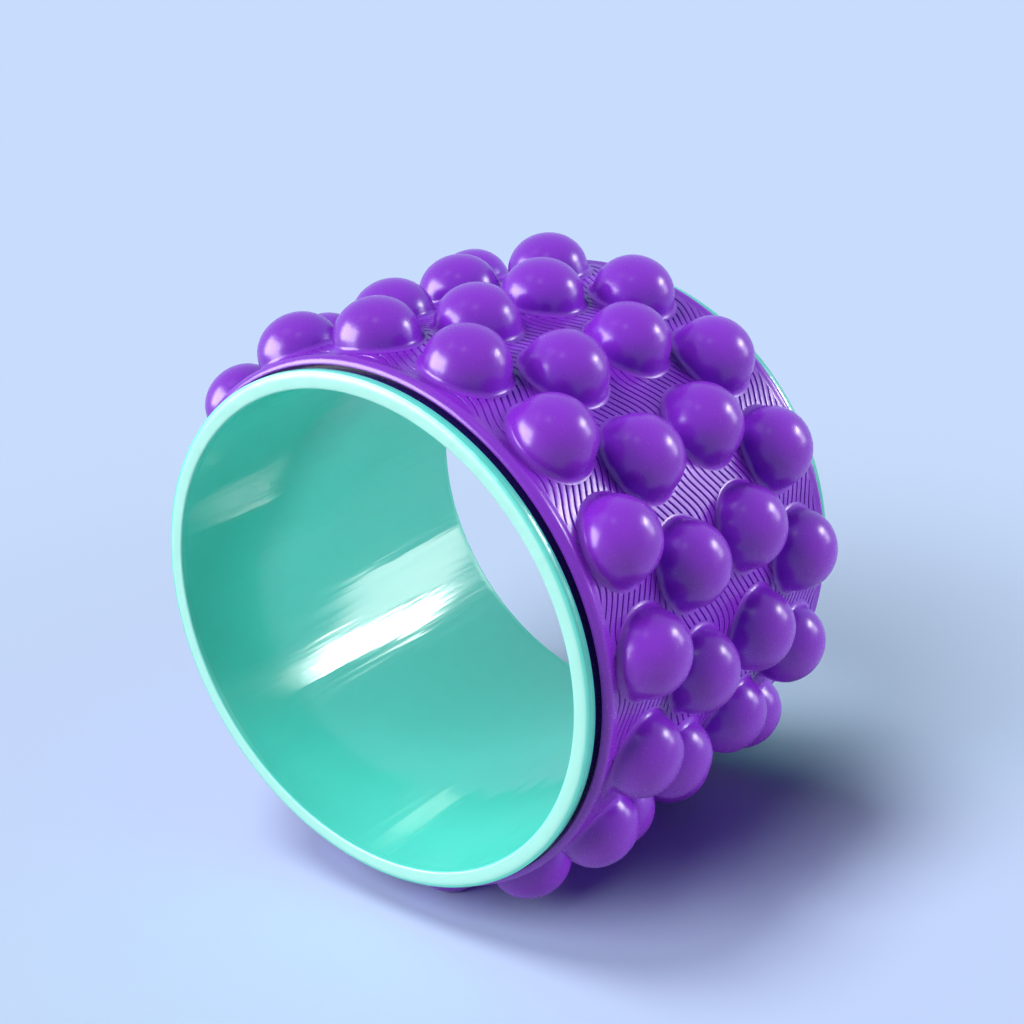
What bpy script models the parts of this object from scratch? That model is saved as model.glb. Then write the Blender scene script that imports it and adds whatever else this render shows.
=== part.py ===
"""Back roller wheel: a stiff open hoop, an end ring pressed on each end, and a soft tread of massage balls.

Sizes are in metres. The wheel's axle line is Y, its front end is at -Y, and its centre is the origin.
It stands on its balls with Z up. An outline of a turned piece is a list of (radius, y) points, and
an outline of a ball is a list of (radius, height above the tread's skin) points.
"""

import math

import bmesh
import bpy
from mathutils import Matrix

# The hoop: a barrel that carries the tread, with a thinner spigot at each end for an end ring.
BORE_RADIUS = 0.1060
HOOP_WIDTH = 0.1850
BARREL_WALL = 0.0055
SPIGOT_WALL = 0.0045
BORE_EDGE_ROUND = 0.0012

# The end rings, just behind the hoop's ends. Each one's face curves back on its way out to a sharp lip.
RING_SETBACK = 0.0001
RING_THICKNESS = 0.0042
RING_HEIGHT = 0.0028
RING_FACE_FALL = 0.00075

# The tread's skin, which rises to a smooth rolled border at each end.
SKIN_WALL = 0.0052
SKIN_END_GAP = 0.0036
BORDER_WIDTH = 0.0033
BORDER_RISE = 0.0005
BORDER_ROUND = 0.0031

# The massage balls: four rows, with the two inner ones half a pitch round from the outer ones.
BALLS_PER_ROW = 16
INNER_ROW_SPACING = 0.0446
OUTER_ROW_INSET = 0.0266
BALL_RADIUS = 0.0180
BALL_HEIGHT = 0.0180
BALL_FLARE = 0.0022

# The clearance between pieces that touch.
FIT_GAP = 0.0003

# How finely the round shapes are made.
FACETS_PER_BALL = 4
CORNER_STEPS = 2
BALL_SIDES = 12
FLARE_STEPS = 2
CROWN_STEPS = 3
SMOOTH_BELOW = math.radians(35)

# How deep a ball's foot runs into the skin, so that the two join.
FOOT_DEPTH = 0.0003

# What follows from those sizes.
SPIGOT_RADIUS = BORE_RADIUS + SPIGOT_WALL
BARREL_RADIUS = BORE_RADIUS + BARREL_WALL
RING_INNER_RADIUS = SPIGOT_RADIUS + FIT_GAP
RING_OUTER_RADIUS = RING_INNER_RADIUS + RING_HEIGHT
RING_FRONT = HOOP_WIDTH / 2 - RING_SETBACK
RING_BACK = RING_FRONT - RING_THICKNESS
BARREL_END = RING_BACK - FIT_GAP
SKIN_END = RING_BACK - SKIN_END_GAP
SKIN_INNER_RADIUS = BARREL_RADIUS + FIT_GAP
SKIN_RADIUS = SKIN_INNER_RADIUS + SKIN_WALL
INNER_ROW_OFFSET = INNER_ROW_SPACING / 2
OUTER_ROW_OFFSET = SKIN_END - OUTER_ROW_INSET
BALL_PITCH = 2 * math.pi / BALLS_PER_ROW


def clear_scene():
    for thing in list(bpy.data.objects):
        bpy.data.objects.remove(thing)


def plastic(name, color, roughness):
    """A plastic or rubber with this linear colour."""
    material = bpy.data.materials.new(name)
    material.use_nodes = True
    shader = material.node_tree.nodes["Principled BSDF"]
    shader.inputs["Base Color"].default_value = (*color, 1.0)
    shader.inputs["Roughness"].default_value = roughness
    return material


def mesh_from(bm, name):
    """A closed mesh whose faces point out and whose round parts are smooth."""
    bmesh.ops.remove_doubles(bm, verts=bm.verts, dist=1e-6)
    bmesh.ops.recalc_face_normals(bm, faces=bm.faces)
    mesh = bpy.data.meshes.new(name)
    bm.to_mesh(mesh)
    bm.free()
    mesh.shade_smooth()
    mesh.set_sharp_from_angle(angle=SMOOTH_BELOW)
    return mesh


def add_object(mesh, material=None):
    made = bpy.data.objects.new(mesh.name, mesh)
    bpy.context.collection.objects.link(made)
    if material:
        mesh.materials.append(material)
    return made


def spun(name, points, axis, steps, closed):
    """Spins an outline of these points a full turn about this axis through the origin."""
    bm = bmesh.new()
    verts = [bm.verts.new(point) for point in points]
    ends = verts[1:] + verts[:1] if closed else verts[1:]
    edges = [bm.edges.new(pair) for pair in zip(verts, ends)]
    bmesh.ops.spin(
        bm,
        geom=verts + edges,
        cent=(0, 0, 0),
        axis=axis,
        angle=2 * math.pi,
        steps=steps,
        use_merge=True,
    )
    return mesh_from(bm, name)


def turned(name, outline):
    """A ring about the axle with this closed outline."""
    points = [(radius, y, 0) for radius, y in outline]
    return spun(name, points, (0, 1, 0), BALLS_PER_ROW * FACETS_PER_BALL, closed=True)


def quarter_round(radius, y, size, start_degrees):
    """An outline's rounded corner, which turns left about (radius, y) from this angle."""
    points = []
    for step in range(CORNER_STEPS + 1):
        angle = math.radians(start_degrees + 90 * step / CORNER_STEPS)
        points.append((radius + size * math.cos(angle), y + size * math.sin(angle)))
    return points


def both_ends(front):
    """A closed outline from its front half, which runs from the bore side to the tread side."""
    return front + [(radius, -y) for radius, y in reversed(front)]


def hoop_outline():
    round_centre = -HOOP_WIDTH / 2 + BORE_EDGE_ROUND
    return both_ends(
        [
            *quarter_round(BORE_RADIUS + BORE_EDGE_ROUND, round_centre, BORE_EDGE_ROUND, 180),
            (SPIGOT_RADIUS, -HOOP_WIDTH / 2),
            (SPIGOT_RADIUS, -BARREL_END),
            (BARREL_RADIUS, -BARREL_END),
        ]
    )


def ring_outline():
    """The front end ring, whose curved face looks towards -Y."""
    curve_radius = (RING_HEIGHT**2 + RING_FACE_FALL**2) / (2 * RING_FACE_FALL)
    points = [(RING_OUTER_RADIUS, -RING_BACK), (RING_INNER_RADIUS, -RING_BACK)]
    for step in range(CORNER_STEPS + 1):
        angle = math.asin(RING_HEIGHT / curve_radius) * step / CORNER_STEPS
        height = curve_radius * math.sin(angle)
        fall = curve_radius * (1 - math.cos(angle))
        points.append((RING_INNER_RADIUS + height, -RING_FRONT + fall))
    return points


def skin_outline():
    border_radius = SKIN_RADIUS + BORDER_RISE
    border_end = SKIN_END - BORDER_WIDTH
    return both_ends(
        [
            (SKIN_INNER_RADIUS, -SKIN_END),
            *quarter_round(border_radius - BORDER_ROUND, -SKIN_END + BORDER_ROUND, BORDER_ROUND, 270),
            (border_radius, -border_end),
            (SKIN_RADIUS, -border_end + BORDER_RISE),
        ]
    )


def ball_outline():
    """From the foot in the skin, in and up the hollow flare to the ball's widest, and over its crown."""
    foot_radius = BALL_RADIUS + BALL_FLARE + FOOT_DEPTH / math.tan(math.pi / 4 / FLARE_STEPS)
    points = [(0, -FOOT_DEPTH), (foot_radius, -FOOT_DEPTH)]
    for step in range(1, FLARE_STEPS):
        angle = math.pi / 2 * step / FLARE_STEPS
        inwards = BALL_FLARE * math.sin(angle)
        points.append((BALL_RADIUS + BALL_FLARE - inwards, BALL_FLARE * (1 - math.cos(angle))))
    for step in range(CROWN_STEPS):
        angle = math.pi / 2 * step / CROWN_STEPS
        height = BALL_FLARE + (BALL_HEIGHT - BALL_FLARE) * math.sin(angle)
        points.append((BALL_RADIUS * math.cos(angle), height))
    return [*points, (0, BALL_HEIGHT)]


def ball_mesh():
    """One ball on a spoke that points up. Its foot is bent down to follow the round skin."""
    # The outline starts half a side round, so that no corner of the ball lies on an edge of the skin.
    start = math.pi / BALL_SIDES
    points = [
        (radius * math.cos(start), radius * math.sin(start), height)
        for radius, height in ball_outline()
    ]
    mesh = spun("ball", points, (0, 0, 1), BALL_SIDES, closed=False)
    for vertex in mesh.vertices:
        skin_drop = SKIN_RADIUS - math.sqrt(SKIN_RADIUS**2 - vertex.co.x**2)
        vertex.co.z -= skin_drop * (1 - vertex.co.z / BALL_HEIGHT)
    return mesh


def ball_places():
    """Each ball's place. A row starts a quarter pitch off the top, so the wheel stands on two lines."""
    rows = (
        (-OUTER_ROW_OFFSET, -BALL_PITCH / 4),
        (-INNER_ROW_OFFSET, BALL_PITCH / 4),
        (INNER_ROW_OFFSET, BALL_PITCH / 4),
        (OUTER_ROW_OFFSET, -BALL_PITCH / 4),
    )
    return [
        Matrix.Rotation(start + BALL_PITCH * number, 4, "Y") @ Matrix.Translation((0, y, SKIN_RADIUS))
        for y, start in rows
        for number in range(BALLS_PER_ROW)
    ]


def all_balls():
    """Every ball, as one guide that the tread takes in with a union."""
    ball = ball_mesh()
    bm = bmesh.new()
    for place in ball_places():
        first = len(bm.verts)
        bm.from_mesh(ball)
        bm.verts.ensure_lookup_table()
        bmesh.ops.transform(bm, matrix=place, verts=bm.verts[first:])
    balls = add_object(mesh_from(bm, "balls"))
    balls.hide_render = True
    balls.display_type = "WIRE"
    return balls


def build_hoop(material):
    add_object(turned("hoop", hoop_outline()), material)


def build_end_rings(material):
    front = ring_outline()
    add_object(turned("front_end_ring", front), material)
    add_object(turned("back_end_ring", [(radius, -y) for radius, y in front]), material)


def build_tread(material):
    tread = add_object(turned("massage_tread", skin_outline()), material)
    union = tread.modifiers.new("balls", "BOOLEAN")
    union.operation = "UNION"
    union.object = all_balls()
    # Larger balls or closer rows run into each other, and then join too.
    union.use_self = True


def main():
    clear_scene()
    mint = plastic("mint_plastic", (0.12, 0.68, 0.56), 0.22)
    purple = plastic("purple_rubber", (0.17, 0.03, 0.48), 0.38)
    build_hoop(mint)
    build_end_rings(mint)
    build_tread(purple)


main()
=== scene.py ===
"""Back roller wheel: the finished pieces, their materials, and a plain studio to look at them in.

Sizes are in metres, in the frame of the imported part: the wheel's axle line is Y, its seen front end is
at -Y, its centre is the origin, and it stands on its massage balls with Z up. An outline of a turned
piece is a list of (radius, y) points, and an outline of a ball is a list of (radius, height above the
tread's skin) points.
"""

import math

import bmesh
import bpy
from mathutils import Matrix, Vector


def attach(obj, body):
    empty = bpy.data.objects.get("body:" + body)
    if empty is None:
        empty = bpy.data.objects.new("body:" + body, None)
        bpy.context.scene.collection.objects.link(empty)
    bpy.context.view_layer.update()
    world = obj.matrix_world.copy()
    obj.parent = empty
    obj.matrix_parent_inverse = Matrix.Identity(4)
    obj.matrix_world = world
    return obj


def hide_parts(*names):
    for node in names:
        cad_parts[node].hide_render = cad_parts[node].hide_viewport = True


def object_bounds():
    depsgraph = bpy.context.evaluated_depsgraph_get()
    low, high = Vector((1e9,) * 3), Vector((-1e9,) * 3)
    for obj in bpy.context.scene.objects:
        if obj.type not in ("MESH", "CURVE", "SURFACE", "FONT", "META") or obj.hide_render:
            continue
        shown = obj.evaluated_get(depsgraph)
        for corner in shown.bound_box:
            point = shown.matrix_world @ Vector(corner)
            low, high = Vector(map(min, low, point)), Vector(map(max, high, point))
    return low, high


bl_info = {
    "name": "Back roller wheel",
    "version": (1, 0, 0),
    "blender": (4, 5, 0),
    "location": "3D View > Sidebar > Roller Wheel",
    "description": "Builds a back roller wheel: a moulded hoop, two end rings and a tread of massage balls",
    "category": "Object",
}

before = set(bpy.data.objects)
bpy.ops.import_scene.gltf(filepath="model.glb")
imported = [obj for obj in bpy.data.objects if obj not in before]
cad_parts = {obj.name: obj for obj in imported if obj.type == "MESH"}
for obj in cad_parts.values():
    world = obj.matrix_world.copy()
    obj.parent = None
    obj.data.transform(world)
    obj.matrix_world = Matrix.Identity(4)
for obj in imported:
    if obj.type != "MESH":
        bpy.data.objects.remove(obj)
CAD_BOX = [list(corner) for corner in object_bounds()]

MINT_SLOT = "mint_plastic"
PURPLE_SLOT = "purple_rubber"

FULL_TURN = 2 * math.pi

# The clearance between pieces that touch.
FIT_GAP = 0.0003

# How far one form runs into another, so that no gap shows between them: a ring into its spigot, the
# grooved skin in under each border, a border's fall under the skin, and a ball's foot into the skin.
RING_SEAT = 0.0003
BORDER_LAP = 0.0006
BORDER_SINK = 0.00002
BALL_FOOT_DEPTH = 0.0012

# How far a ring's face stands back from the hoop's end, and the edge of a ball's flare above the skin,
# so that the two don't lie in one face.
RING_SETBACK = 0.00001
BALL_FLARE_START = 0.00006

# How far past the surface of the skin's foot the painted shadow reaches.
PAINTED_SHADOW_REACH = 0.0002

# A border's inner face, under the skin: the depth of its first part, how far that leads towards the
# wheel's middle, and how far the rest leans out.
BORDER_FACE_DROP = 0.0012
BORDER_FACE_LEAD = 0.0001
BORDER_FACE_LEAN = 0.0014

# The rows start a quarter of a ball's pitch to one side of the top, or to the other.
QUARTER_PITCH = 0.25

# Points closer than this are one point. The seams between the skin's shares need the wider reach.
MERGE_WITHIN = 1e-7
SEAM_MERGE_WITHIN = 1e-6

# An edge that turns more than this many degrees is left sharp.
PLASTIC_SHARP = 35
RUBBER_SHARP = 60

# How finely the round shapes are made. The skin's count is for one ball's share of the way round.
TURNED_STEPS = 256
SKIN_STEPS = 20
BALL_SIDES = 40
CORNER_STEPS = 7
FLARE_STEPS = 7
CROWN_STEPS = 14
BREAK_STEPS = 2
BORDER_ROUND_STEPS = 12
BORDER_FALL_STEPS = 10

# A groove's cross-section, as (distance from its middle, depth), from one flat land to the next.
GROOVE_SECTION = (
    (-0.00072, 0.0),
    (-0.00054, 0.00002),
    (-0.00044, 0.00014),
    (-0.00030, 0.00070),
    (0.00030, 0.00070),
    (0.00044, 0.00014),
    (0.00054, 0.00002),
    (0.00072, 0.0),
)

# A ball hides the skin inside this share of its radius.
HIDDEN_SHARE = 0.95

# The paper: how far it reaches each way, the brightness that it throws back, and where its shadow fades out.
PAPER_REACH = 12.0
PAPER_BOUNCE = 0.80
FADE_START = 0.30
FADE_END = 0.62

# The strength of the dim even light from all round.
WORLD_FILL = 0.04

# A soft lamp only has a direction, so its distance changes nothing.
LAMP_DISTANCE = 2.0

# The camera, fitted to the rim and the balls in the photograph. Its turn is in degrees.
CAMERA_PLACE = (0.467444, -0.581988, 0.335261)
CAMERA_TURN = (67.283991, 2.205947, 37.372424)
CAMERA_LENS = 64.41
CAMERA_SENSOR = 36.0


def linear(hex_colour):
    """The linear RGB of an sRGB hex colour such as #7F40C0."""
    shares = [int(hex_colour[place : place + 2], 16) / 255 for place in (1, 3, 5)]
    return tuple(
        share / 12.92 if share <= 0.04045 else ((share + 0.055) / 1.055) ** 2.4
        for share in shares
    )


class HoopSettings(bpy.types.PropertyGroup):
    """The hoop, with a thinner spigot at each end, and the two end rings on the spigots."""

    bore_radius: bpy.props.FloatProperty(
        name="Bore radius",
        description="From the axle line to the smooth inside of the hoop",
        default=0.1060,
        min=0.05,
        unit="LENGTH",
    )
    width: bpy.props.FloatProperty(
        name="Width",
        description="From one end of the hoop to the other",
        default=0.1850,
        min=0.05,
        unit="LENGTH",
    )
    barrel_wall: bpy.props.FloatProperty(
        name="Barrel wall",
        description="Thickness of the hoop under the tread",
        default=0.0055,
        min=0.002,
        unit="LENGTH",
    )
    spigot_wall: bpy.props.FloatProperty(
        name="Spigot wall",
        description="Thickness of the hoop under an end ring",
        default=0.0045,
        min=0.002,
        unit="LENGTH",
    )
    edge_round: bpy.props.FloatProperty(
        name="Edge round",
        description="Radius of the rounded edges at the hoop's ends",
        default=0.0012,
        min=0.0002,
        unit="LENGTH",
    )
    ring_thickness: bpy.props.FloatProperty(
        name="Ring thickness",
        description="Thickness of an end ring along the axle",
        default=0.0043,
        min=0.001,
        unit="LENGTH",
    )
    ring_height: bpy.props.FloatProperty(
        name="Ring height",
        description="How far an end ring stands up from the spigot",
        default=0.0031,
        min=0.001,
        unit="LENGTH",
    )
    ring_face_fall: bpy.props.FloatProperty(
        name="Ring face fall",
        description="How far an end ring's face curves back on its way out to the lip",
        default=0.00085,
        min=0.0002,
        unit="LENGTH",
    )
    lip_break: bpy.props.FloatProperty(
        name="Lip break",
        description="Radius of the fine rounding along an end ring's two outer edges",
        default=0.00018,
        min=0.00005,
        unit="LENGTH",
    )


class TreadSettings(bpy.types.PropertyGroup):
    """The soft tread: a grooved skin with a rolled border at each end, and four rows of balls."""

    skin_wall: bpy.props.FloatProperty(
        name="Skin wall",
        description="Thickness of the skin between the balls",
        default=0.0052,
        min=0.002,
        unit="LENGTH",
    )
    end_gap: bpy.props.FloatProperty(
        name="End gap",
        description="Gap between the tread and an end ring",
        default=0.0030,
        min=0.0,
        unit="LENGTH",
    )
    border_width: bpy.props.FloatProperty(
        name="Border width",
        description="Width of the smooth rolled border, to where it has fallen to the skin",
        default=0.0066,
        min=0.002,
        unit="LENGTH",
    )
    border_rise: bpy.props.FloatProperty(
        name="Border rise",
        description="How far the border stands above the skin",
        default=0.0005,
        min=0.0,
        unit="LENGTH",
    )
    border_round: bpy.props.FloatProperty(
        name="Border round",
        description="Radius of the border's outer edge",
        default=0.0031,
        min=0.0005,
        unit="LENGTH",
    )
    border_undercut: bpy.props.FloatProperty(
        name="Border undercut",
        description="How far the groove under each border runs in from the tread's end",
        default=0.0036,
        min=0.0,
        max=0.0040,
        unit="LENGTH",
    )
    foot_length: bpy.props.FloatProperty(
        name="Foot length",
        description="How far the skin's foot runs out past the border towards the end ring",
        default=0.0014,
        min=0.0,
        unit="LENGTH",
    )
    foot_wall: bpy.props.FloatProperty(
        name="Foot wall",
        description="Thickness of the skin's foot where it runs out",
        default=0.0004,
        min=0.0002,
        unit="LENGTH",
    )
    groove_fade: bpy.props.FloatProperty(
        name="Groove fade",
        description="Length over which each groove runs out before the border",
        default=0.0016,
        min=0.0002,
        unit="LENGTH",
    )
    groove_pitch: bpy.props.FloatProperty(
        name="Groove pitch",
        description="From one groove to the next across the tread",
        default=0.0038,
        min=0.002,
        unit="LENGTH",
    )
    wave_height: bpy.props.FloatProperty(
        name="Wave height",
        description="How far each groove swings to either side on its way round",
        default=0.0049,
        min=0.0,
        unit="LENGTH",
    )
    balls_per_row: bpy.props.IntProperty(
        name="Balls in a row",
        description="How many balls stand round the wheel in each of the four rows",
        default=16,
        min=4,
    )
    inner_row_spacing: bpy.props.FloatProperty(
        name="Inner row spacing",
        description="Between the middles of the two inner rows",
        default=0.0446,
        min=0.01,
        unit="LENGTH",
    )
    outer_row_inset: bpy.props.FloatProperty(
        name="Outer row inset",
        description="From the tread's end to the middle of an outer row",
        default=0.0272,
        min=0.01,
        unit="LENGTH",
    )
    ball_radius: bpy.props.FloatProperty(
        name="Ball radius",
        description="Radius of a ball at its widest",
        default=0.0180,
        min=0.005,
        unit="LENGTH",
    )
    ball_height: bpy.props.FloatProperty(
        name="Ball height",
        description="How far a ball stands above the skin",
        default=0.0180,
        min=0.005,
        unit="LENGTH",
    )
    ball_flare: bpy.props.FloatProperty(
        name="Ball flare",
        description="Radius of the hollow flare round a ball's foot",
        default=0.0022,
        min=0.0005,
        unit="LENGTH",
    )


class ColourSettings(bpy.types.PropertyGroup):
    """The colours of the two plastics, of the painted light and painted shadow on them, and of the studio.
    """

    mint: bpy.props.FloatVectorProperty(
        name="Mint",
        description="Colour of the hoop and its end rings",
        subtype="COLOR",
        default=linear("#59DDCF"),
        min=0.0,
        max=1.0,
    )
    # Painted light: the end faces are painted this paler mint so that they look brightly lit.
    painted_light_mint: bpy.props.FloatVectorProperty(
        name="Trimmed mint",
        description="Paler colour of the hoop's and rings' trimmed end faces",
        subtype="COLOR",
        default=linear("#A3EBE1"),
        min=0.0,
        max=1.0,
    )
    purple: bpy.props.FloatVectorProperty(
        name="Purple",
        description="Colour of the tread",
        subtype="COLOR",
        default=linear("#822BC8"),
        min=0.0,
        max=1.0,
    )
    # Painted shadow: this dark blue is painted on the skin's foot to stand in for the deep shadow behind
    # each end ring.
    foot: bpy.props.FloatVectorProperty(
        name="Foot",
        description="Colour of the skin's foot, beside the end rings",
        subtype="COLOR",
        default=linear("#281C66"),
        min=0.0,
        max=1.0,
    )
    backdrop: bpy.props.FloatVectorProperty(
        name="Backdrop",
        description="Colour of the floor and of the wall behind it",
        subtype="COLOR",
        default=linear("#C8DCFD"),
        min=0.0,
        max=1.0,
    )


def add_node(tree, kind, options=(), values=(), links=()):
    """Adds a node of this kind with its options, the values of its inputs, and links into its inputs."""
    made = tree.nodes.new(kind)
    for name, value in dict(options).items():
        setattr(made, name, value)
    for name, value in dict(values).items():
        made.inputs[name].default_value = value
    for name, source in dict(links).items():
        tree.links.new(source, made.inputs[name])
    return made


def new_material(name):
    material = bpy.data.materials.new(name)
    material.use_nodes = True
    material.node_tree.nodes.clear()
    return material


def deeper(colour, share):
    """This linear colour, made darker to this share of it."""
    return (*(channel * share for channel in colour), 1.0)


def moulded_polypropylene(colour, trimmed, end):
    """Polypropylene, injection moulded against a polished core, and trimmed square at both ends.

    The core leaves a bright gloss, and it is drawn out along the axle, which leaves long faint waves
    that break a reflection into streaks. The dye sits a little unevenly where the melt flowed. The
    trimmed end faces are rough, so they hardly shine, and the gloss dulls over the last few millimetres
    before them. The end faces are also painted paler: a painted light that makes them look brightly lit.
    """
    # The end faces are painted paler, as painted light, starting at the first of these and full at the
    # second.
    painted_light_start, painted_light_full = end - 0.00045, end - 0.00005
    dull_start, dull_full = end - 0.0046, end - 0.0008
    material = new_material("moulded_polypropylene")
    tree = material.node_tree
    place = add_node(tree, "ShaderNodeTexCoord")
    flow = add_node(
        tree,
        "ShaderNodeTexNoise",
        values={"Scale": 1 / 0.060, "Detail": 2.0, "Roughness": 0.5},
        links={"Vector": place.outputs["Object"]},
    )
    dye = add_node(
        tree,
        "ShaderNodeMix",
        options={"data_type": "RGBA"},
        values={6: (*colour, 1.0), 7: deeper(colour, 0.92)},
        links={"Factor": flow.outputs["Fac"]},
    )
    parts = add_node(tree, "ShaderNodeSeparateXYZ", links={"Vector": place.outputs["Object"]})
    from_middle = add_node(
        tree, "ShaderNodeMath", options={"operation": "ABSOLUTE"}, links={0: parts.outputs["Y"]}
    )
    # Painted light: this mask covers the end faces and fades out across each ring's curved face.
    painted_light_mask = add_node(
        tree,
        "ShaderNodeMapRange",
        options={"interpolation_type": "SMOOTHSTEP"},
        values={"From Min": painted_light_start, "From Max": painted_light_full},
        links={"Value": from_middle.outputs["Value"]},
    )
    # Painted light: the paler mint, given as trimmed, is mixed in on the end faces.
    shade = add_node(
        tree,
        "ShaderNodeMix",
        options={"data_type": "RGBA"},
        values={7: (*trimmed, 1.0)},
        links={"Factor": painted_light_mask.outputs["Result"], 6: dye.outputs[2]},
    )
    dulled = add_node(
        tree,
        "ShaderNodeMapRange",
        options={"interpolation_type": "SMOOTHSTEP"},
        values={"From Min": dull_start, "From Max": dull_full},
        links={"Value": from_middle.outputs["Value"]},
    )
    drawn = add_node(
        tree,
        "ShaderNodeMapping",
        values={"Scale": (1.0, 0.06, 1.0)},
        links={"Vector": place.outputs["Object"]},
    )
    waves = add_node(
        tree,
        "ShaderNodeTexNoise",
        values={"Scale": 1 / 0.008, "Detail": 3.0, "Roughness": 0.5},
        links={"Vector": drawn.outputs["Vector"]},
    )
    relief = add_node(
        tree,
        "ShaderNodeBump",
        values={"Strength": 0.5, "Distance": 0.0007},
        links={"Height": waves.outputs["Fac"]},
    )
    polish = add_node(
        tree,
        "ShaderNodeMapRange",
        values={"From Min": 0.3, "From Max": 0.7, "To Min": 0.08, "To Max": 0.16},
        links={"Value": waves.outputs["Fac"]},
    )
    finish = add_node(
        tree,
        "ShaderNodeMix",
        values={3: 0.38},
        links={"Factor": dulled.outputs["Result"], 2: polish.outputs["Result"]},
    )
    shader = add_node(
        tree,
        "ShaderNodeBsdfPrincipled",
        values={"IOR": 1.49, "Specular IOR Level": 0.9},
        links={
            "Base Color": shade.outputs[2],
            "Roughness": finish.outputs[0],
            "Normal": relief.outputs["Normal"],
        },
    )
    add_node(tree, "ShaderNodeOutputMaterial", links={"Surface": shader.outputs["BSDF"]})
    return material


def moulded_elastomer(colour, painted_shadow_colour, painted_shadow_radius):
    """Thermoplastic elastomer, a soft rubber moulded in a lightly blasted tool.

    It has an even satin gloss that softens each highlight, with a fine grain in it. The grain is about
    0.3 mm in the real tread and is drawn at 0.8 mm, so that it shows at all. The skin's foot, which lies
    within the given radius of the axle line, is painted dark blue. That is a painted shadow: it stands
    in for the deep shadow behind each end ring, which the studio's lamps leave too light.
    """
    # The painted shadow is full within the first radius and gone beyond the second.
    painted_shadow_within, plain_beyond = painted_shadow_radius - 0.0001, painted_shadow_radius + 0.0006
    material = new_material("moulded_elastomer")
    tree = material.node_tree
    place = add_node(tree, "ShaderNodeTexCoord")
    flow = add_node(
        tree,
        "ShaderNodeTexNoise",
        values={"Scale": 1 / 0.030, "Detail": 2.0, "Roughness": 0.5},
        links={"Vector": place.outputs["Object"]},
    )
    dye = add_node(
        tree,
        "ShaderNodeMix",
        options={"data_type": "RGBA"},
        values={6: (*colour, 1.0), 7: deeper(colour, 0.86)},
        links={"Factor": flow.outputs["Fac"]},
    )
    across = add_node(
        tree,
        "ShaderNodeVectorMath",
        options={"operation": "MULTIPLY"},
        values={1: (1.0, 0.0, 1.0)},
        links={0: place.outputs["Object"]},
    )
    from_axle = add_node(
        tree, "ShaderNodeVectorMath", options={"operation": "LENGTH"}, links={0: across.outputs["Vector"]}
    )
    above_painted_shadow = add_node(
        tree,
        "ShaderNodeMapRange",
        options={"interpolation_type": "SMOOTHSTEP"},
        values={"From Min": painted_shadow_within, "From Max": plain_beyond},
        links={"Value": from_axle.outputs["Value"]},
    )
    # Painted shadow: the dark blue is mixed in on the skin's foot.
    shade = add_node(
        tree,
        "ShaderNodeMix",
        options={"data_type": "RGBA"},
        values={6: (*painted_shadow_colour, 1.0)},
        links={"Factor": above_painted_shadow.outputs["Result"], 7: dye.outputs[2]},
    )
    grain = add_node(
        tree,
        "ShaderNodeTexNoise",
        values={"Scale": 1 / 0.0008, "Detail": 2.0, "Roughness": 0.6},
        links={"Vector": place.outputs["Object"]},
    )
    relief = add_node(
        tree,
        "ShaderNodeBump",
        values={"Strength": 0.10, "Distance": 0.00005},
        links={"Height": grain.outputs["Fac"]},
    )
    satin = add_node(
        tree,
        "ShaderNodeMapRange",
        values={"From Min": 0.3, "From Max": 0.7, "To Min": 0.22, "To Max": 0.28},
        links={"Value": grain.outputs["Fac"]},
    )
    shader = add_node(
        tree,
        "ShaderNodeBsdfPrincipled",
        values={"IOR": 1.50},
        links={
            "Base Color": shade.outputs[2],
            "Roughness": satin.outputs["Result"],
            "Normal": relief.outputs["Normal"],
        },
    )
    add_node(tree, "ShaderNodeOutputMaterial", links={"Surface": shader.outputs["BSDF"]})
    return material


def mint_plastic(hoop, colours):
    """The hoop's plastic, made once, so that the rings share it."""
    made = bpy.data.materials.get("moulded_polypropylene")
    return made or moulded_polypropylene(tuple(colours.mint), tuple(colours.painted_light_mint), hoop.width / 2)


def purple_rubber(tread, radii, colours):
    """The tread's rubber, made once, so that the skin and the balls share it."""
    made = bpy.data.materials.get("moulded_elastomer")
    # The painted shadow covers the skin's foot and reaches a little past it.
    painted_shadow_radius = radii.skin_inner + tread.foot_wall + PAINTED_SHADOW_REACH
    return made or moulded_elastomer(tuple(colours.purple), tuple(colours.foot), painted_shadow_radius)


def mesh_from(bm, name, sharp_degrees):
    """A closed mesh whose faces point out, smooth but for the edges that turn more than this."""
    bmesh.ops.remove_doubles(bm, verts=bm.verts, dist=MERGE_WITHIN)
    bmesh.ops.recalc_face_normals(bm, faces=bm.faces)
    mesh = bpy.data.meshes.new(name)
    bm.to_mesh(mesh)
    bm.free()
    mesh.shade_smooth()
    mesh.set_sharp_from_angle(angle=math.radians(sharp_degrees))
    return mesh


def add_piece(mesh, material, slot, *nodes):
    """A piece that rides with the wheel, takes this material, and stands for these nodes. The slot is not
    used.
    """
    piece = bpy.data.objects.new(mesh.name, mesh)
    bpy.context.scene.collection.objects.link(piece)
    mesh.materials.append(material)
    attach(piece, "root")
    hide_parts(*nodes)
    return piece


def spin_outline(bm, points, axis, steps, closed, angle=FULL_TURN):
    """Spins an outline of these points about this axis through the origin, a full turn or less."""
    verts = [bm.verts.new(point) for point in points]
    ends = verts[1:] + verts[:1] if closed else verts[1:]
    edges = [bm.edges.new(pair) for pair in zip(verts, ends)]
    bmesh.ops.spin(
        bm,
        geom=verts + edges,
        cent=(0, 0, 0),
        axis=axis,
        angle=angle,
        steps=steps,
        use_merge=angle == FULL_TURN,
    )


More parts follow.
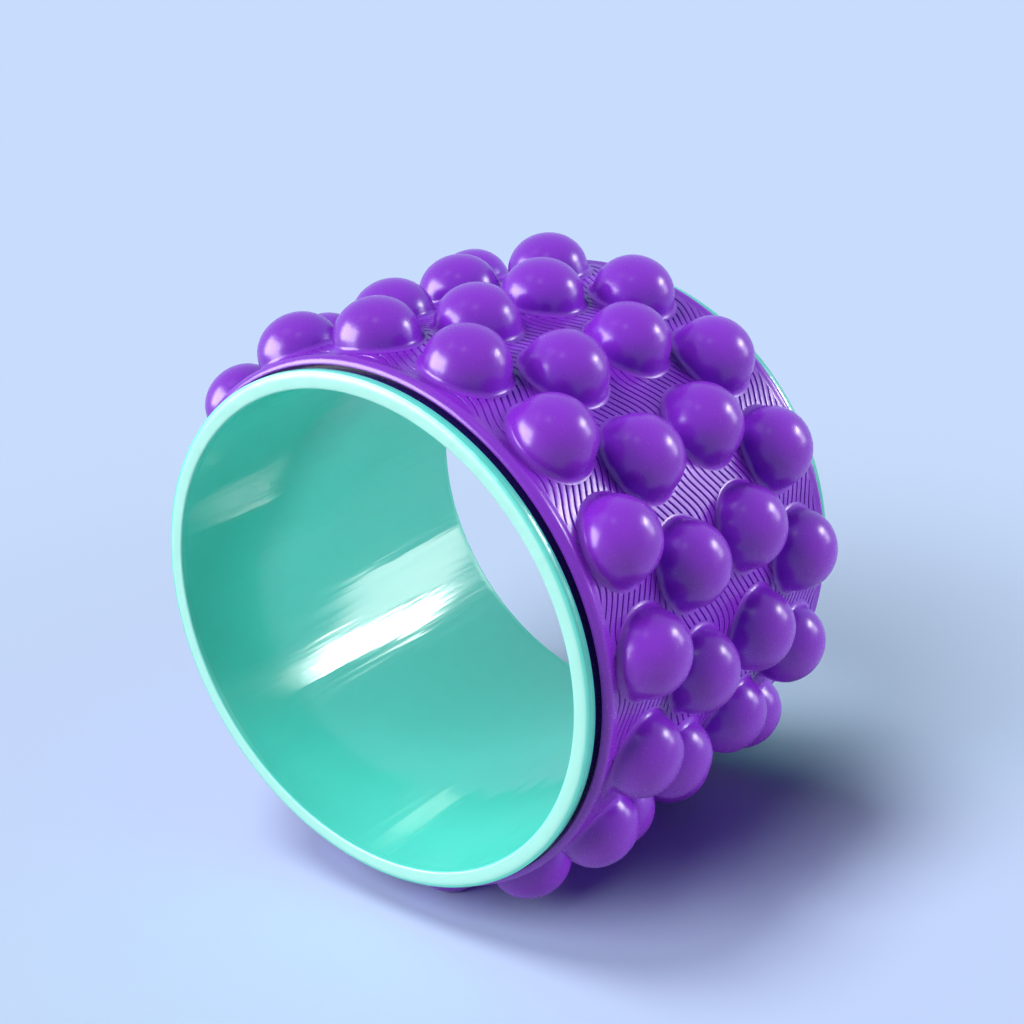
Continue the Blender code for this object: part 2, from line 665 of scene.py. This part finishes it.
def turn(bm, outline, steps, angle=FULL_TURN):
    """Adds a ring about the axle with this closed outline, or a share of a ring."""
    points = [(radius, y, 0) for radius, y in outline]
    spin_outline(bm, points, (0, 1, 0), steps, closed=True, angle=angle)


def add_copies(bm, mesh, places):
    """Adds a copy of this mesh at each of these places."""
    for place in places:
        first = len(bm.verts)
        bm.from_mesh(mesh)
        bm.verts.ensure_lookup_table()
        bmesh.ops.transform(bm, matrix=place, verts=bm.verts[first:])
    bpy.data.meshes.remove(mesh)


def quarter_round(radius, y, size, start_degrees, steps=CORNER_STEPS):
    """An outline's rounded corner, which turns left about (radius, y) from this angle."""
    points = []
    for step in range(steps + 1):
        angle = math.radians(start_degrees + 90 * step / steps)
        points.append((radius + size * math.cos(angle), y + size * math.sin(angle)))
    return points


def eased(share):
    """A smooth step from 0 to 1."""
    return share * share * (3 - 2 * share)


def both_ends(front):
    """A closed outline from its front half, which runs from the bore side to the tread side."""
    return front + [(radius, -y) for radius, y in reversed(front)]


class Radii:
    """What follows from the sizes: the radii and places where the pieces meet, and the balls' pitch."""

    def __init__(self, hoop, tread):
        self.spigot = hoop.bore_radius + hoop.spigot_wall
        self.barrel = hoop.bore_radius + hoop.barrel_wall
        self.lip = self.spigot + hoop.ring_height
        self.ring_back = hoop.width / 2 - hoop.ring_thickness
        self.tread_end = self.ring_back - tread.end_gap
        self.skin_inner = self.barrel + FIT_GAP
        self.skin = self.skin_inner + tread.skin_wall
        self.skin_middle = self.skin_inner + tread.skin_wall / 2
        self.border_edge = self.tread_end - tread.border_width
        self.pitch = FULL_TURN / tread.balls_per_row
        self.rows = (
            (-self.tread_end + tread.outer_row_inset, -QUARTER_PITCH),
            (-tread.inner_row_spacing / 2, QUARTER_PITCH),
            (tread.inner_row_spacing / 2, QUARTER_PITCH),
            (self.tread_end - tread.outer_row_inset, -QUARTER_PITCH),
        )


def settings(context):
    """The wheel's settings, and the radii that follow from them."""
    hoop, tread = context.scene.roller_hoop, context.scene.roller_tread
    return hoop, tread, context.scene.roller_colours, Radii(hoop, tread)


class ROLLER_OT_hoop(bpy.types.Operator):
    """Turns the stiff hoop, with its smooth bore, its barrel and a spigot at each end"""

    bl_idname = "roller.hoop"
    bl_label = "Hoop"

    def execute(self, context):
        hoop, _tread, colours, radii = settings(context)
        edge, end = hoop.edge_round, hoop.width / 2
        bm = bmesh.new()
        turn(
            bm,
            both_ends(
                [
                    *quarter_round(hoop.bore_radius + edge, -end + edge, edge, 180),
                    (radii.spigot, -end),
                    (radii.spigot, -radii.ring_back),
                    (radii.barrel, -radii.ring_back),
                ]
            ),
            TURNED_STEPS,
        )
        mint = mint_plastic(hoop, colours)
        add_piece(mesh_from(bm, "moulded_hoop", PLASTIC_SHARP), mint, MINT_SLOT, "hoop")
        return {"FINISHED"}


def ring_outline(hoop, radii):
    """The front end ring. Its face runs on from the hoop's end and curves back to a crisp lip."""
    rise, fall, edge = hoop.ring_height, hoop.ring_face_fall, hoop.lip_break
    curve = (rise**2 + fall**2) / (2 * fall)
    last = math.asin((rise - edge) / curve)
    # The face starts a little inside the spigot, so that no dark line shows where the two meet.
    face_start = -hoop.width / 2 + RING_SETBACK
    points = [(radii.spigot - RING_SEAT, face_start)]
    for step in range(CORNER_STEPS + 1):
        angle = last * step / CORNER_STEPS
        points.append((radii.spigot + curve * math.sin(angle), face_start + curve * (1 - math.cos(angle))))
    # Two short flats break the lip's front edge.
    face_end = points[-1][1]
    flat_in, flat_back, lip_back = edge * 0.3, edge * 0.45, edge * 1.2
    return [
        *points,
        (radii.lip - flat_in, face_end + flat_back),
        (radii.lip, face_end + lip_back),
        *quarter_round(radii.lip - edge, -radii.ring_back - edge, edge, 0, steps=BREAK_STEPS),
        (radii.spigot - RING_SEAT, -radii.ring_back),
    ]


class ROLLER_OT_end_rings(bpy.types.Operator):
    """Turns the two end rings, which stand on the spigots and keep the tread from creeping off"""

    bl_idname = "roller.end_rings"
    bl_label = "End rings"

    def execute(self, context):
        hoop, _tread, colours, radii = settings(context)
        mint = mint_plastic(hoop, colours)
        outline = ring_outline(hoop, radii)
        for end, side in (("front", 1), ("back", -1)):
            bm = bmesh.new()
            turn(bm, [(radius, y * side) for radius, y in outline], TURNED_STEPS)
            mesh = mesh_from(bm, f"{end}_lip_ring", PLASTIC_SHARP)
            add_piece(mesh, mint, MINT_SLOT, f"{end}_end_ring")
        return {"FINISHED"}


def skin_outline(tread, radii):
    """The skin's closed outline, with straight grooves, wide enough to be swung and then cut to width."""
    pitch = tread.groove_pitch
    reach = radii.border_edge + tread.wave_height + pitch
    count = math.ceil(reach / pitch)
    points = [(radii.skin_inner, -count * pitch), (radii.skin, -count * pitch)]
    for number in range(-count, count):
        middle = (number + 0.5) * pitch
        points += [(radii.skin - depth, middle + across) for across, depth in GROOVE_SECTION]
    return [*points, (radii.skin, count * pitch), (radii.skin_inner, count * pitch)]


def swing_grooves(bm, tread, radii):
    """Swings the grooves to and fro, once for each ball of a row, and runs them out before the border."""
    # A groove crosses its own middle line beside the balls: here, beside an outer row's first ball.
    first_crossing = FULL_TURN / 4 + QUARTER_PITCH * radii.pitch
    for vert in bm.verts:
        radius = math.hypot(vert.co.x, vert.co.z)
        if radius > radii.skin_middle:
            turned = math.atan2(vert.co.z, vert.co.x) - first_crossing
            vert.co.y -= tread.wave_height * math.sin(tread.balls_per_row * turned)
            left = min(max((radii.border_edge - abs(vert.co.y)) / tread.groove_fade, 0.0), 1.0)
            depth = (radii.skin - radius) * eased(left)
            vert.co.x *= (radii.skin - depth) / radius
            vert.co.z *= (radii.skin - depth) / radius


def cut_to_width(bm, half_width):
    """Cuts the skin square at both ends."""
    for side in (-1, 1):
        bmesh.ops.bisect_plane(
            bm,
            geom=bm.verts[:] + bm.edges[:] + bm.faces[:],
            dist=MERGE_WITHIN,
            plane_co=(0, side * half_width, 0),
            plane_no=(0, side, 0),
            clear_outer=True,
        )


def close_ends(bm):
    """Joins the skin's outside to its inside at each end."""
    for side in (-1, 1):
        ring = [edge for edge in bm.edges if edge.is_boundary and edge.verts[0].co.y * side > 0]
        bmesh.ops.bridge_loops(bm, edges=ring)


def border_outline(tread, radii, side):
    """The rolled border at one end, from the skin's foot, over the rounded edge and down to the skin."""
    top = radii.skin + tread.border_rise
    crest = radii.tread_end - tread.border_round
    fall = crest - radii.border_edge
    foot, foot_end = radii.skin_inner + tread.foot_wall, -radii.tread_end - tread.foot_length
    groove_end = -radii.tread_end + tread.border_undercut
    outline = [
        (radii.skin_inner, foot_end),
        (foot, foot_end),
        (foot, groove_end),
        (top - tread.border_round, groove_end),
        *quarter_round(
            top - tread.border_round, -crest, tread.border_round, 270, steps=BORDER_ROUND_STEPS
        ),
    ]
    for step in range(1, BORDER_FALL_STEPS + 1):
        along = step / BORDER_FALL_STEPS
        drop = (tread.border_rise + BORDER_SINK) * eased(along)
        outline.append((top - drop, -crest + fall * along))
    outline += [
        (radii.skin - BORDER_FACE_DROP, -radii.border_edge + BORDER_FACE_LEAD),
        (radii.skin_inner, -radii.border_edge - BORDER_FACE_LEAN),
    ]
    return [(radius, y * side) for radius, y in outline]


def grooved_skin(tread, radii):
    """The skin and its borders. One ball's share of them is shaped, and copied round the wheel."""
    share = bmesh.new()
    turn(share, skin_outline(tread, radii), SKIN_STEPS, radii.pitch)
    swing_grooves(share, tread, radii)
    cut_to_width(share, radii.border_edge + BORDER_LAP)
    for side in (1, -1):
        turn(share, border_outline(tread, radii, side), SKIN_STEPS, radii.pitch)
    mesh = bpy.data.meshes.new("share")
    share.to_mesh(mesh)
    share.free()
    bm = bmesh.new()
    places = [Matrix.Rotation(radii.pitch * number, 4, "Y") for number in range(tread.balls_per_row)]
    add_copies(bm, mesh, places)
    bmesh.ops.remove_doubles(bm, verts=bm.verts, dist=SEAM_MERGE_WITHIN)
    close_ends(bm)
    merge_hidden_faces(bm, tread, radii)
    return bm


def merge_hidden_faces(bm, tread, radii):
    """Makes one face of the skin under each ball, where no groove can be seen."""
    reach = (tread.ball_radius + tread.ball_flare) * HIDDEN_SHARE
    hidden = []
    for face in bm.faces:
        middle = face.calc_center_median()
        if math.hypot(middle.x, middle.z) < radii.skin_middle:
            continue
        # A ball's place counts from the top and turns towards +X.
        turned = math.atan2(middle.x, middle.z) / radii.pitch
        for row_y, start in radii.rows:
            off = turned - start
            along = (off - round(off)) * radii.pitch * radii.skin
            if math.hypot(along, middle.y - row_y) < reach:
                hidden.append(face)
                break
    bmesh.ops.dissolve_faces(bm, faces=hidden, use_verts=True)


class ROLLER_OT_tread_skin(bpy.types.Operator):
    """Moulds the tread's skin: its waving grooves, and the smooth border rolled over each end"""

    bl_idname = "roller.tread_skin"
    bl_label = "Tread skin"

    def execute(self, context):
        _hoop, tread, colours, radii = settings(context)
        bm = grooved_skin(tread, radii)
        purple = purple_rubber(tread, radii, colours)
        add_piece(mesh_from(bm, "tread_skin", RUBBER_SHARP), purple, PURPLE_SLOT, "massage_tread")
        return {"FINISHED"}


def ball_outline(tread):
    """From a ball's foot in the skin, up its hollow flare to its widest, and over its crown."""
    radius, height, flare = tread.ball_radius, tread.ball_height, tread.ball_flare
    start = BALL_FLARE_START
    points = [(0, -BALL_FOOT_DEPTH), (radius + flare, -BALL_FOOT_DEPTH), (radius + flare, start)]
    for step in range(1, FLARE_STEPS):
        angle = math.pi / 2 * step / FLARE_STEPS
        points.append((radius + flare - flare * math.sin(angle), start + flare * (1 - math.cos(angle))))
    for step in range(CROWN_STEPS):
        angle = math.pi / 2 * step / CROWN_STEPS
        points.append((radius * math.cos(angle), flare + (height - flare) * math.sin(angle)))
    return [*points, (0, height)]


def ball_mesh(tread, radii):
    """One ball on a spoke that points up. Its foot is bent down to follow the round skin."""
    bm = bmesh.new()
    points = [(radius, 0, height) for radius, height in ball_outline(tread)]
    spin_outline(bm, points, (0, 0, 1), BALL_SIDES, closed=False)
    for vert in bm.verts:
        skin_drop = radii.skin - math.sqrt(radii.skin**2 - vert.co.x**2)
        vert.co.z -= skin_drop * (1 - vert.co.z / tread.ball_height)
    return mesh_from(bm, "ball", RUBBER_SHARP)


def ball_places(tread, radii):
    """Each ball's place. A row starts a quarter pitch off the top, so the wheel stands on two lines."""
    return [
        Matrix.Rotation((start + number) * radii.pitch, 4, "Y") @ Matrix.Translation((0, y, radii.skin))
        for y, start in radii.rows
        for number in range(tread.balls_per_row)
    ]


class ROLLER_OT_massage_balls(bpy.types.Operator):
    """Moulds the massage balls, four staggered rows that flare up out of the skin"""

    bl_idname = "roller.massage_balls"
    bl_label = "Massage balls"

    def execute(self, context):
        _hoop, tread, colours, radii = settings(context)
        bm = bmesh.new()
        add_copies(bm, ball_mesh(tread, radii), ball_places(tread, radii))
        purple = purple_rubber(tread, radii, colours)
        add_piece(mesh_from(bm, "massage_balls", RUBBER_SHARP), purple, PURPLE_SLOT, "massage_tread")
        return {"FINISHED"}


def aim(thing, azimuth, elevation, distance):
    """Puts a lamp out in this direction from the wheel, facing it. Azimuth 0 is +Y and 90 is +X."""
    turn_by, rise = math.radians(azimuth), math.radians(elevation)
    out = Vector((math.sin(turn_by) * math.cos(rise), math.cos(turn_by) * math.cos(rise), math.sin(rise)))
    thing.location = out * distance
    thing.rotation_euler = out.to_track_quat("Z", "Y").to_euler()


def add_lamp(name, kind, energy):
    made = bpy.data.objects.new(name, bpy.data.lights.new(name, kind))
    made.data.energy = energy
    made.visible_camera = False
    bpy.context.scene.collection.objects.link(made)
    return made


def add_light(name, energy, spread_degrees, azimuth, elevation):
    """Soft light from one side, with no highlight of its own."""
    made = add_lamp(name, "SUN", energy)
    made.data.angle = math.radians(spread_degrees)
    made.visible_glossy = False
    aim(made, azimuth, elevation, LAMP_DISTANCE)
    return made


def share_light(lamp, state, *things):
    """Has a lamp light only these things (INCLUDE), or all but these things (EXCLUDE)."""
    lit = bpy.data.collections.new(f"{lamp.name}_lit")
    for thing in things:
        lit.objects.link(thing)
    for row in lit.collection_objects:
        row.light_linking.link_state = state
    lamp.light_linking.receiver_collection = lit


def add_softbox(name, width, height, brightness, azimuth, elevation, distance):
    """A lit panel for the highlights alone. White paper has a brightness of 1."""
    made = add_lamp(name, "AREA", brightness * math.pi * width * height)
    made.data.shape = "RECTANGLE"
    made.data.size = width
    made.data.size_y = height
    made.visible_diffuse = False
    aim(made, azimuth, elevation, distance)


def backdrop_material(colour):
    """Matt paper, which shows the wheel's shadow near it and fades to an even colour further off."""
    material = new_material("seamless_paper")
    tree = material.node_tree
    place = add_node(tree, "ShaderNodeTexCoord")
    away = add_node(
        tree, "ShaderNodeVectorMath", options={"operation": "LENGTH"}, links={0: place.outputs["Object"]}
    )
    fade = add_node(
        tree,
        "ShaderNodeMapRange",
        options={"interpolation_type": "SMOOTHSTEP"},
        values={"From Min": FADE_START, "From Max": FADE_END},
        links={"Value": away.outputs["Value"]},
    )
    path = add_node(tree, "ShaderNodeLightPath")
    seen = add_node(
        tree,
        "ShaderNodeMath",
        options={"operation": "MULTIPLY"},
        links={0: path.outputs["Is Camera Ray"], 1: fade.outputs["Result"]},
    )
    mirrored = add_node(
        tree,
        "ShaderNodeMath",
        options={"operation": "MAXIMUM"},
        links={0: path.outputs["Is Camera Ray"], 1: path.outputs["Is Glossy Ray"]},
    )
    # The light that the paper throws back up is neutral, so that the wheel keeps its own colours.
    shade = add_node(
        tree,
        "ShaderNodeMix",
        options={"data_type": "RGBA"},
        values={6: (PAPER_BOUNCE, PAPER_BOUNCE, PAPER_BOUNCE, 1.0), 7: (*colour, 1.0)},
        links={"Factor": mirrored.outputs["Value"]},
    )
    paper = add_node(tree, "ShaderNodeBsdfDiffuse", links={"Color": shade.outputs[2]})
    even = add_node(tree, "ShaderNodeEmission", values={"Color": (*colour, 1.0), "Strength": 1.0})
    mixed = add_node(
        tree,
        "ShaderNodeMixShader",
        links={"Fac": seen.outputs["Value"], 1: paper.outputs["BSDF"], 2: even.outputs["Emission"]},
    )
    add_node(tree, "ShaderNodeOutputMaterial", links={"Surface": mixed.outputs["Shader"]})
    return material


def light_the_world(colour):
    """A dim even light from all round. The backdrop's colour is what is seen and mirrored."""
    world = bpy.data.worlds.new("studio")
    bpy.context.scene.world = world
    world.use_nodes = True
    tree = world.node_tree
    tree.nodes.clear()
    path = add_node(tree, "ShaderNodeLightPath")
    mirrored = add_node(
        tree,
        "ShaderNodeMath",
        options={"operation": "MAXIMUM"},
        links={0: path.outputs["Is Camera Ray"], 1: path.outputs["Is Glossy Ray"]},
    )
    seen = add_node(
        tree,
        "ShaderNodeMath",
        options={"operation": "MAXIMUM"},
        links={0: mirrored.outputs["Value"], 1: path.outputs["Is Transmission Ray"]},
    )
    fill = add_node(
        tree, "ShaderNodeBackground", values={"Color": (1.0, 1.0, 1.0, 1.0), "Strength": WORLD_FILL}
    )
    shown = add_node(tree, "ShaderNodeBackground", values={"Color": (*colour, 1.0), "Strength": 1.0})
    mixed = add_node(
        tree,
        "ShaderNodeMixShader",
        links={"Fac": seen.outputs["Value"], 1: fill.outputs["Background"], 2: shown.outputs["Background"]},
    )
    add_node(tree, "ShaderNodeOutputWorld", links={"Surface": mixed.outputs["Shader"]})


def lay_floor(colour):
    """The sheet of paper that the wheel stands on."""
    bm = bmesh.new()
    bmesh.ops.create_grid(bm, x_segments=1, y_segments=1, size=PAPER_REACH)
    mesh = bpy.data.meshes.new("floor")
    bm.to_mesh(mesh)
    bm.free()
    mesh.materials.append(backdrop_material(colour))
    floor = bpy.data.objects.new("floor", mesh)
    floor.location.z = CAD_BOX[0][2]
    bpy.context.scene.collection.objects.link(floor)
    return floor


def hang_soft_lamps(floor):
    """The soft lamps: brightness, spread, azimuth and elevation, with the last three in degrees."""
    # The paper is lit by two lamps of its own, so that the wheel throws a soft shadow to the right.
    share_light(add_light("paper_front_light", 2.2, 38, -172, 40), "INCLUDE", floor)
    share_light(add_light("paper_high_light", 1.5, 22, -136, 72), "INCLUDE", floor)
    share_light(add_light("high_light", 1.8, 22, -133, 64), "EXCLUDE", floor)
    share_light(add_light("front_left_light", 2.4, 30, -150, 32), "EXCLUDE", floor)
    share_light(add_light("back_right_light", 1.4, 14, 45, 27), "EXCLUDE", floor)
    # This one picks out the tread's far side, and is kept off the bright mint bore.
    mint = [bpy.data.objects[name] for name in ("moulded_hoop", "front_lip_ring", "back_lip_ring")]
    share_light(add_light("far_side_light", 1.8, 30, 48, 6), "EXCLUDE", floor, *mint)


def hang_softboxes():
    """The softboxes: width, height, brightness, azimuth and elevation in degrees, and distance."""
    add_softbox("front_left_softbox", 1.45, 1.05, 12.0, -140, 18, 1.6)
    add_softbox("back_right_upper_softbox", 0.42, 0.27, 26.0, 39.5, 26, 1.8)
    add_softbox("back_right_lower_softbox", 0.42, 0.50, 5.5, 39.5, 12, 1.8)
    add_softbox("overhead_softbox", 0.22, 0.22, 4.0, 145, 70, 1.8)


def place_camera():
    """The camera, in front of the wheel, above it and to its right."""
    lens = bpy.data.cameras.new("camera")
    lens.sensor_width = CAMERA_SENSOR
    lens.lens = CAMERA_LENS
    camera = bpy.data.objects.new("camera", lens)
    camera.location = CAMERA_PLACE
    camera.rotation_euler = [math.radians(angle) for angle in CAMERA_TURN]
    bpy.context.scene.collection.objects.link(camera)
    bpy.context.scene.camera = camera


class ROLLER_OT_stage(bpy.types.Operator):
    """Sets up the studio: a pale floor, soft lamps, and the camera in front and to the right"""

    bl_idname = "roller.stage"
    bl_label = "Studio"

    def execute(self, context):
        backdrop = tuple(context.scene.roller_colours.backdrop)
        context.scene.view_settings.view_transform = "Standard"
        floor = lay_floor(backdrop)
        light_the_world(backdrop)
        hang_soft_lamps(floor)
        hang_softboxes()
        place_camera()
        return {"FINISHED"}


class ROLLER_PT_panel(bpy.types.Panel):
    """The wheel's sizes and colours, and a button for each group of pieces"""

    bl_idname = "ROLLER_PT_panel"
    bl_label = "Roller Wheel"
    bl_space_type = "VIEW_3D"
    bl_region_type = "UI"
    bl_category = "Roller Wheel"

    def draw(self, context):
        for group in (context.scene.roller_hoop, context.scene.roller_tread, context.scene.roller_colours):
            box = self.layout.box()
            for name in group.bl_rna.properties.keys():
                if name not in ("rna_type", "name"):
                    box.prop(group, name)
        for operator in OPERATORS:
            self.layout.operator(operator.bl_idname)


OPERATORS = (
    ROLLER_OT_hoop,
    ROLLER_OT_end_rings,
    ROLLER_OT_tread_skin,
    ROLLER_OT_massage_balls,
    ROLLER_OT_stage,
)
CLASSES = (HoopSettings, TreadSettings, ColourSettings, *OPERATORS, ROLLER_PT_panel)


def register():
    for made in CLASSES:
        bpy.utils.register_class(made)
    bpy.types.Scene.roller_hoop = bpy.props.PointerProperty(type=HoopSettings)
    bpy.types.Scene.roller_tread = bpy.props.PointerProperty(type=TreadSettings)
    bpy.types.Scene.roller_colours = bpy.props.PointerProperty(type=ColourSettings)


def unregister():
    del bpy.types.Scene.roller_colours
    del bpy.types.Scene.roller_tread
    del bpy.types.Scene.roller_hoop
    for made in reversed(CLASSES):
        bpy.utils.unregister_class(made)


def main():
    register()
    bpy.ops.roller.hoop()
    bpy.ops.roller.end_rings()
    bpy.ops.roller.tread_skin()
    bpy.ops.roller.massage_balls()
    bpy.ops.roller.stage()


if __name__ == "__main__":
    main()
